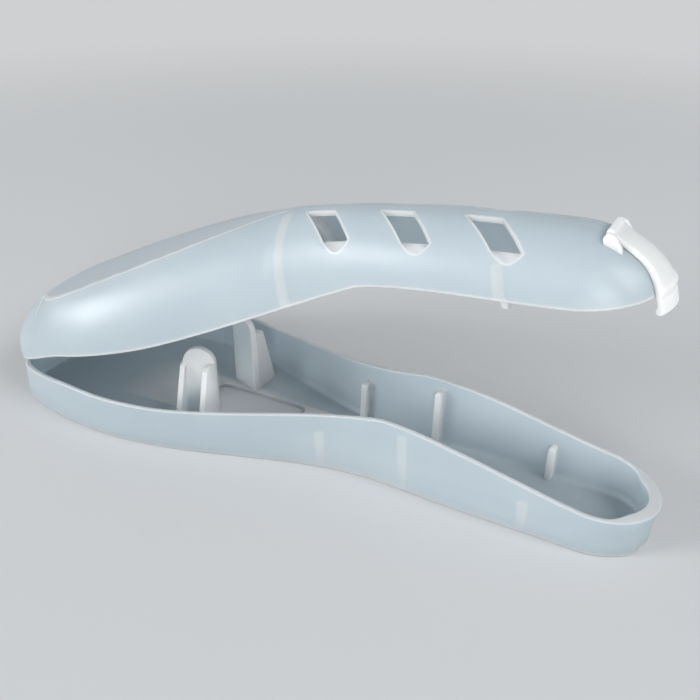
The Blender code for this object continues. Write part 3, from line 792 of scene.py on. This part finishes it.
def lid_column(station, half, fall, inset):
    """Points from the near rim to the centre line, in rows that meet the windows' corners."""
    shift = foot_shift(station) * (SILL_SHARE if inset else 1.0)
    foot = station + shift
    windowed = ease(station, WINDOW_START - WINDOW_FADE, WINDOW_START - WINDOW_MARGIN)
    windowed *= 1 - ease(station, window_stops[-1] + WINDOW_MARGIN, TAIL_CENTRE)
    base, crown, facet, sag, turn, across, rise = lid_arc(station, half, fall, inset)
    foot_half = plan_half(foot, inset) if shift else half
    _, _, _, _, foot_turn, foot_across, _ = lid_arc(foot, foot_half, fall, inset)
    foot_y = foot_half - foot_across * (1 - math.cos(foot_turn * FOOT_SHARE))
    inner_y = half - across * (1 - math.cos(turn * INNER_SHARE))
    sill = WINDOW_SILL if inset else WINDOW_FOOT + foot_bow(station)
    sill -= FIRST_WINDOW_SHORT * (1 - ease(station, window_stops[1], window_stops[2]))
    foot_y = mix(foot_y, sill, windowed)
    inner_y = mix(inner_y, WINDOW_INNER, windowed)
    points = []
    foot_angle = arc_angle(foot_y, foot_half, foot_across)
    for row in range(LOW_ROWS):
        share = row / LOW_ROWS
        x = station + shift * share
        x_half = plan_half(x, inset) if shift else half
        x_base, _, _, _, _, x_across, x_rise = lid_arc(x, x_half, fall, inset)
        angle = foot_angle * share
        y = x_half - x_across * (1 - math.cos(angle))
        points.append((x, y, x_base + x_rise * math.sin(angle)))
    for row in range(WINDOW_ROWS):
        share = row / WINDOW_ROWS
        y = mix(foot_y, inner_y, share)
        x = mix(foot, station, share)
        x_half = plan_half(x, inset) if shift else half
        x_base, _, _, _, _, x_across, x_rise = lid_arc(x, x_half, fall, inset)
        angle = arc_angle(y, x_half, x_across)
        points.append((x, y, x_base + x_rise * math.sin(angle)))
    inner_angle = arc_angle(inner_y, half, across)
    for row in range(HIGH_ROWS):
        angle = mix(inner_angle, turn, row / HIGH_ROWS)
        y = half - across * (1 - math.cos(angle))
        points.append((station, y, base + rise * math.sin(angle)))
    for row in range(FACET_ROWS + 1):
        share = 1 - row / FACET_ROWS
        points.append((station, facet * share, crown - sag * share * share))
    low = base + RIM_ROUND
    return [(x, -y, max(z, low)) for x, y, z in points]


def lid_grid(inset):
    """The lid's skin as columns from nose to tail, each from the near rim over to the far rim."""
    corner = max(NOSE_CORNER - inset, LEAST_CORNER)
    columns = []
    for step in range(CORNER_STEPS):
        angle = math.radians(90) * step / CORNER_STEPS
        station = inset + corner * (1 - math.cos(angle))
        half = body_half(station, inset, inset) - corner * (1 - math.sin(angle))
        columns.append((station, half, 1.0))
    stops = [NOSE_CORNER, CREST_STATION, FACET_STATION, WINDOW_START - WINDOW_FADE]
    stops += window_stops + [TAIL_CENTRE]
    for station in spread(stops, COLUMN_SPACING):
        share = min((station - NOSE_CORNER) / (FACET_STATION - NOSE_CORNER), 1.0)
        station += (inset + corner - NOSE_CORNER) * (1 - share)
        columns.append((station, body_half(station, inset, inset), 1.0))
    for step in range(TAIL_STEPS + 1):
        angle = math.radians(90) * step / TAIL_STEPS
        station = TAIL_CENTRE + (TAIL_ROUND - inset) * math.sin(angle)
        half = (GRIP_HALF - inset) * math.cos(angle)
        columns.append((station, half, max(math.cos(angle), LEAST_FALL)))
    grid = []
    for station, half, fall in columns:
        near = lid_column(station, half, fall, inset)
        grid.append(near + [(x, -y, z) for x, y, z in near[-2::-1]])
    return grid


outer = lid_grid(0.0)
inner = lid_grid(LID_WALL)
wide = len(outer[0])
long = len(outer)
lid_stations = [column[wide // 2][0] for column in outer]
last_row = LOW_ROWS + WINDOW_ROWS
holes = []
for start in window_starts:
    low = min(range(long), key=lambda c: abs(lid_stations[c] - start))
    high = min(range(long), key=lambda c: abs(lid_stations[c] - start - WINDOW_WIDTH))
    holes.append((low, high, LOW_ROWS, last_row))
    holes.append((low, high, wide - 1 - last_row, wide - 1 - LOW_ROWS))


def in_hole(column, row):
    """Whether a face of the grid lies in one of the windows."""
    return any(low <= column < high and bottom <= row < top for low, high, bottom, top in holes)


def skin_index(skin, column, row):
    """Number of a vertex of the outer skin, 0, or the inner skin, 1."""
    return (skin * long + column) * wide + row


verts = [p for column in outer + inner for p in column]
faces = []
for skin in (0, 1):
    for c in range(long - 1):
        for r in range(wide - 1):
            if not in_hole(c, r):
                corners = ((c, r), (c, r + 1), (c + 1, r + 1), (c + 1, r))
                faces.append(tuple(skin_index(skin, *corner) for corner in corners))
    faces.append(tuple(skin_index(skin, 0, r) for r in range(wide)))
for low, high, bottom, top in holes:
    loop = [(low, r) for r in range(bottom, top)] + [(c, top) for c in range(low, high)]
    loop += [(high, r) for r in range(top, bottom, -1)] + [(c, bottom) for c in range(high, low, -1)]
    for here, there in zip(loop, loop[1:] + loop[:1]):
        corners = ((0, *here), (0, *there), (1, *there), (1, *here))
        faces.append(tuple(skin_index(*corner) for corner in corners))

rim_loop = [(c, 0) for c in range(long)] + [(c, wide - 1) for c in range(long - 1, -1, -1)]
rounding = [(rise / LID_WALL, run) for run, rise in quarter(RIM_ROUND)][1:]
rounding += [(1 - share, run) for share, run in rounding[::-1]]
bands = []
for share, drop in rounding:
    band = []
    for c, r in rim_loop:
        a = Vector(verts[skin_index(0, c, r)])
        b = Vector(verts[skin_index(1, c, r)])
        point = a.lerp(b, share)
        point.z -= drop
        band.append(tuple(point))
    bands.append(band)
size = len(rim_loop)
first = len(verts)
verts += [p for band in bands for p in band]
loops = [[skin_index(0, c, r) for c, r in rim_loop]]
loops += [[first + k * size + i for i in range(size)] for k in range(len(bands))]
loops.append([skin_index(1, c, r) for c, r in rim_loop])
for one, other in zip(loops, loops[1:]):
    for i in range(size):
        j = (i + 1) % size
        faces.append((one[i], one[j], other[j], other[i]))
# Painted highlights: white lines along the rim's rounding and along the shield facet's crease ahead
# of the apex.
crease_row = last_row + HIGH_ROWS
crease = [column[row] for column in outer for row in (crease_row, wide - 1 - crease_row)]
bright = bands[ROUND_STEPS - 1] + bands[ROUND_STEPS] + [p for p in crease if p[0] < APEX_STATION]
# Painted light: points on the lid's wall, inside and out, over the webs, for lighter bands where they
# show through it.
backed = []
for _, station, _, share, _ in LID_RIBS:
    for offset in BAND_OFFSETS:
        for inset in (0.0, LID_WALL):
            x = station + offset
            line = side_arc(x, inset, share)
            for (y, z), (next_y, next_z) in zip(line, line[1:]):
                for part in BACKED_PARTS:
                    web_y = mix(y, next_y, part)
                    web_z = mix(z, next_z, part)
                    backed += [(x, -web_y, web_z), (x, web_y, web_z)]
lid = mould("lid", verts, faces, LID_SOFT, limit=19, bright=bright, backed=backed, swing=swing)
dress(lid, frosted, "lid", "lid_shell")

# Film hinge: the thin web that joins the two halves across the blunt nose. It comes out of the
# same moulding, and rolls outward between a strip on each half when the case is shut.
FILM_RADIUS = 0.5 * MM
FILM_THICKNESS = 0.3 * MM
FILM_STRIP = 1.3 * MM
FILM_HALF = 13 * MM
FILM_STEPS = 12
FILM_SLICES = 8
FILM_SOFT = 0.08 * MM


def swung(x, z, share):
    """A point of the closed case, turned a share of the way that the lid is open."""
    angle = LID_OPEN * share
    x -= HINGE_STATION
    z -= HINGE_HEIGHT
    return (
        HINGE_STATION + x * math.cos(angle) - z * math.sin(angle),
        HINGE_HEIGHT + x * math.sin(angle) + z * math.cos(angle),
    )


def extruded(loops):
    """Vertices and faces of a run of like loops, closed at both ends."""
    size = len(loops[0])
    verts, faces = lofted(loops)
    faces.append(tuple(range(size)))
    faces.append(tuple(range(len(verts) - size, len(verts))))
    return verts, faces


milky = polypropylene(
    "milky_plastic",
    body=(0.90, 0.93, 0.94),
    bright=(0.97, 0.98, 0.98),
    clear=0.12,
    scatter=0.6,
    roughness=0.42,
)

centre_line = [(-FILM_THICKNESS / 4, HINGE_HEIGHT - FILM_STRIP - FILM_RADIUS)]
centre_line += arc(HINGE_STATION / 2, HINGE_HEIGHT, FILM_RADIUS, 270, 90, FILM_STEPS)
centre_line.append((-FILM_THICKNESS / 4, HINGE_HEIGHT + FILM_STRIP + FILM_RADIUS))
sides = [[], []]
for here, (x, z) in enumerate(centre_line):
    before = Vector(centre_line[max(here - 1, 0)])
    after = Vector(centre_line[min(here + 1, len(centre_line) - 1)])
    out = (after - before).normalized() * FILM_THICKNESS / 2
    share = ease(z, HINGE_HEIGHT - FILM_RADIUS, HINGE_HEIGHT + FILM_RADIUS)
    for points, way in zip(sides, (1, -1)):
        points.append(swung(x - way * out.y, z + way * out.x, share))
outline = sides[0] + sides[1][::-1]
spans = [mix(-FILM_HALF, FILM_HALF, step / FILM_SLICES) for step in range(FILM_SLICES + 1)]
verts, faces = extruded([[(x, y, z) for x, z in outline] for y in spans])
film = mould("film", verts, faces, FILM_SOFT, limit=40)
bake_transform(film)
dress(film, milky, None, "hinge_film")

# Lid ribs: two pairs of webs moulded inside the lid, over the tray's front and rear ribs. The
# front pair runs up nearly the whole side, and the rear pair is short, with a tapered nose that
# enters the tray.
LID_RIB_WIDTH = 1.8 * MM
LID_RIB_SOFT = 0.35 * MM

for word, side in (("near", -1), ("far", 1)):
    for place, station, reach, share, drop in LID_RIBS:
        loops = []
        for end in (-1, 1):
            x = station + end * LID_RIB_WIDTH / 2
            outer_line = side_arc(x, LID_WALL - SINK, share)[1:]
            (inner_y, _), *inner_line = side_arc(x, LID_WALL + SEAT + reach, share)
            if drop:
                low = rim_height(x) - drop
                wall = plan_half(x, LID_WALL + SEAT) - (TRAY_WALL - LID_WALL) - lean(x, low)
                outer_line = [(wall, low), (wall, rim_height(x) + RIM_GAP)] + outer_line
                inner_line = [(inner_y + reach / 3, low), (inner_y, low + drop / 2)] + inner_line
            loops.append([(x, side * y, z) for y, z in outer_line + inner_line[::-1]])
        verts, faces = extruded(loops)
        web = mould(f"lid_web_{place}_{word}", verts, faces, LID_RIB_SOFT, limit=30, swing=swing)
        dress(web, ribbed, "lid", f"lid_rib_{place}_{word}")

# Clip cheeks: a pair of small triangular gussets moulded on the lid either side of the clip's
# barrel, which hold its ends.
CLIP_HALF = 4.3 * MM
CLIP_PAD_HALF = 6.2 * MM
CLIP_FLARE_HEIGHT = 10 * MM
CLIP_THICKNESS = 1.3 * MM
CLIP_SETBACK = 9.8 * MM
CLIP_STATION = CASE_LENGTH - CLIP_SETBACK
CLIP_BARREL = 0.9 * MM
EAR_THICKNESS = 1.4 * MM
EAR_AHEAD = 0.7 * MM
EAR_BEHIND = 2.9 * MM
EAR_EDGE = 0.4 * MM
EAR_SOFT = 0.3 * MM
EAR_RISE = (0.0, 0.8, 1.0, 0.7, 0.0)
EAR_FRONT_SHARE = 0.5
EAR_REAR_SHARE = 0.6
PROBE = 0.5 * MM


def lid_surface(station, across_y):
    """Height of the closed lid's skin at a station and a distance from the centre line."""
    half = plan_half(station)
    fall = half / GRIP_HALF if station > TAIL_CENTRE else 1.0
    base, crown, facet, sag, _, across, rise = lid_arc(station, half, fall, 0.0)
    if across_y <= facet:
        return crown - sag * (across_y / facet) ** 2
    cosine = (across_y - half + across) / across
    return base + rise * math.sqrt(max(1 - cosine * cosine, 0.0))


slope = lid_surface(CLIP_STATION - PROBE, 0) - lid_surface(CLIP_STATION + PROBE, 0)
clip_normal = math.atan2(2 * PROBE, slope)
barrel_x = CLIP_STATION + (CLIP_BARREL + SEAT) * math.cos(clip_normal)
barrel_z = lid_surface(CLIP_STATION, 0) + (CLIP_BARREL + SEAT) * math.sin(clip_normal)

for word, side in (("near", -1), ("far", 1)):
    near = CLIP_HALF + SEAT
    far = near + EAR_THICKNESS
    start = CLIP_STATION - EAR_AHEAD
    end = CLIP_STATION + EAR_BEHIND
    front = mix(start, barrel_x, EAR_FRONT_SHARE)
    rear = mix(barrel_x, end, EAR_REAR_SHARE)
    loops = []
    for x, share in zip((start, front, barrel_x, rear, end), EAR_RISE):
        root = lid_surface(x, near) + SEAT + EAR_EDGE
        top = mix(root, barrel_z + CLIP_BARREL - EAR_EDGE, share)
        corners = [(y, lid_surface(x, y) - SINK) for y in (near, far)] + [(far, top), (near, top)]
        loops.append([(x, side * y, z) for y, z in corners])
    verts, faces = extruded(loops)
    cheek = mould(f"cheek_{word}", verts, faces, EAR_SOFT, limit=30, swing=swing)
    dress(cheek, milky, "lid", f"latch_ear_{word}")

# Clip: a thick sprung strap of the same plastic that turns on its barrel at the tail of the lid.
# It flares to a thumb pad, and its beaded tip snaps under the lip of the tray.
CLIP_RUN = 2.4 * MM
CLIP_BEAD = 0.8 * MM
CLIP_THUMB = 0.35 * MM
CLIP_THUMB_HEIGHT = 1.9 * MM
CLIP_NOTCH = 0.35 * MM
CLIP_TIP = 0.5 * MM
CLIP_BEND_RUN = 4 * MM
CLIP_SLICES = 18
CLIP_STEPS = 14
CLIP_SOFT = 0.3 * MM
BARREL_START = -75
BARREL_END = 170
BARREL_STEPS = 10


def tail_profile(first, out):
    """Points (x, z) down the lid's centre line round the tail, moved out from the skin."""
    radius = TAIL_ROUND + out
    begin = math.asin((first - TAIL_CENTRE) / radius)
    points = []
    for step in range(CLIP_STEPS + 1):
        angle = mix(begin, math.radians(90), step / CLIP_STEPS)
        station = TAIL_CENTRE + radius * math.sin(angle)
        base = rim_height(station) + RIM_GAP
        points.append((station, base + (crown_height(station) + out - base) * math.cos(angle)))
    return points


wall = CASE_LENGTH + SEAT
skin = wall + CLIP_THICKNESS
catch = RIM_TAIL - LIP_HEIGHT - SEAT / 2
bead = wall - UNDERCUT
low = catch - UNDERCUT - CLIP_BEAD
ridge = RIM_TAIL + CLIP_THUMB_HEIGHT
turn = math.degrees(clip_normal)
barrel = (turn + BARREL_START, turn + BARREL_END, BARREL_STEPS)
outline = arc(barrel_x, barrel_z, CLIP_BARREL, *barrel)
outline += tail_profile(CLIP_STATION + CLIP_BARREL / 2, SEAT)
outline += [(wall, catch), (bead, catch - UNDERCUT), (bead, low), (wall, low - CLIP_TIP)]
outline += [(skin - CLIP_TIP, low - CLIP_TIP), (skin, low), (skin, RIM_TAIL - CLIP_NOTCH)]
outline += [(skin - CLIP_NOTCH, RIM_TAIL), (skin + CLIP_THUMB, ridge - CLIP_THUMB)]
outline += [(skin + CLIP_THUMB, ridge + CLIP_THUMB / 2)]
outside = tail_profile(CLIP_STATION + CLIP_RUN, SEAT + CLIP_THICKNESS)
outline += [(x, z) for x, z in outside if z > ridge + 2 * CLIP_THUMB][::-1]
base = RIM_TAIL + RIM_GAP
loops = []
for step in range(CLIP_SLICES + 1):
    share = mix(-1, 1, step / CLIP_SLICES)
    loop = []
    for x, z in outline:
        y = share * mix(CLIP_PAD_HALF, CLIP_HALF, ease(z, base, base + CLIP_FLARE_HEIGHT))
        pull = 1 - math.sqrt(1 - (y / GRIP_HALF) ** 2)
        bend = 1 - pull * ease(x, barrel_x, barrel_x + CLIP_BEND_RUN)
        height = base + (z - base) * bend if z > base else z
        loop.append((TAIL_CENTRE + (x - TAIL_CENTRE) * bend, y, height))
    loops.append(loop)
verts, faces = extruded(loops)
clip = mould("clip", verts, faces, CLIP_SOFT, limit=28, swing=swing)
dress(clip, milky, "latch", "latch_clip")

# Table, light and camera: a plain pale table that fades into an even surround of its own colour,
# three soft lamps at a distance, and a camera where the photograph was taken from.
PALE = (0.62, 0.63, 0.64, 1)
TABLE_HALF = 3.0
TABLE_DROP = 0.0001
TABLE_FADE_START = 0.3
TABLE_FADE_END = 0.7
LAMP_AIM = Vector((0.0, 0.0, 0.03))

corners = [(x * TABLE_HALF, y * TABLE_HALF, 0) for x, y in ((-1, -1), (1, -1), (1, 1), (-1, 1))]
sheet = bpy.data.meshes.new("table")
sheet.from_pydata(corners, [], [(0, 1, 2, 3)])
table = bpy.data.objects.new("table", sheet)
bpy.context.scene.collection.objects.link(table)
table.location.z = -TABLE_DROP
pale = bpy.data.materials.new("pale_table")
pale.use_nodes = True
pale.node_tree.nodes.clear()
board = Wire(pale.node_tree)
board_top = board.node("BsdfPrincipled", inlets={"Base Color": PALE, "Roughness": 0.6})
clear_air = board.node("BsdfTransparent", outlet="BSDF")
centre = board.node("TexCoord", outlet="Object")
away = board.node("VectorMath", {"operation": "LENGTH"}, {0: centre}, "Value")
limits = {"Value": away, "From Min": TABLE_FADE_START, "From Max": TABLE_FADE_END}
fade = board.node("MapRange", {"interpolation_type": "SMOOTHSTEP"}, limits)
faded = board.node("MixShader", inlets={0: fade, 1: board_top, 2: clear_air})
board.node("OutputMaterial", inlets={"Surface": faded})
table.data.materials.append(pale)


def lamp(name, spot, size, power):
    light = bpy.data.lights.new(name, "AREA")
    light.shape = "DISK"
    light.size = size
    light.energy = power
    thing = bpy.data.objects.new(name, light)
    thing.location = spot
    thing.rotation_euler = (LAMP_AIM - Vector(spot)).to_track_quat("-Z", "Y").to_euler()
    bpy.context.scene.collection.objects.link(thing)


lamp("key", spot=(-1.5, -1.35, 0.6), size=1.0, power=31.0)
lamp("fill", spot=(0.9, -1.6, 0.45), size=0.8, power=13.0)
lamp("top", spot=(1.3, -0.2, 1.2), size=0.8, power=13.0)

world = bpy.data.worlds.new("studio")
bpy.context.scene.world = world
world.use_nodes = True
world.node_tree.nodes.clear()
room = Wire(world.node_tree)
camera_ray, glossy_ray, through_ray = (
    room.node("LightPath", outlet=f"Is {kind} Ray") for kind in ("Camera", "Glossy", "Transmission")
)
seen = camera_ray + glossy_ray + through_ray
glow = room.node("Background", inlets={"Color": (0.94, 0.97, 1.0, 1), "Strength": 0.42})
backdrop = room.node("Background", inlets={"Color": PALE, "Strength": 1.0})
surround = room.node("MixShader", inlets={0: seen, 1: glow, 2: backdrop})
room.node("OutputWorld", inlets={"Surface": surround})

AZIMUTH = math.radians(28.76)
ELEVATION = math.radians(29.60)
AIM = Vector((3.81, 12.59, 22.87)) * MM
DISTANCE = 248.34 * MM
LENS = 43.9
back = Vector((
    math.sin(AZIMUTH) * math.cos(ELEVATION),
    -math.cos(AZIMUTH) * math.cos(ELEVATION),
    math.sin(ELEVATION),
))
view = bpy.data.cameras.new("camera")
view.lens = LENS
view.clip_start = 10 * MM
camera = bpy.data.objects.new("camera", view)
camera.location = AIM + back * DISTANCE
camera.rotation_euler = back.to_track_quat("Z", "Y").to_euler()
bpy.context.scene.collection.objects.link(camera)
bpy.context.scene.camera = camera
bpy.context.scene.view_settings.view_transform = "Standard"
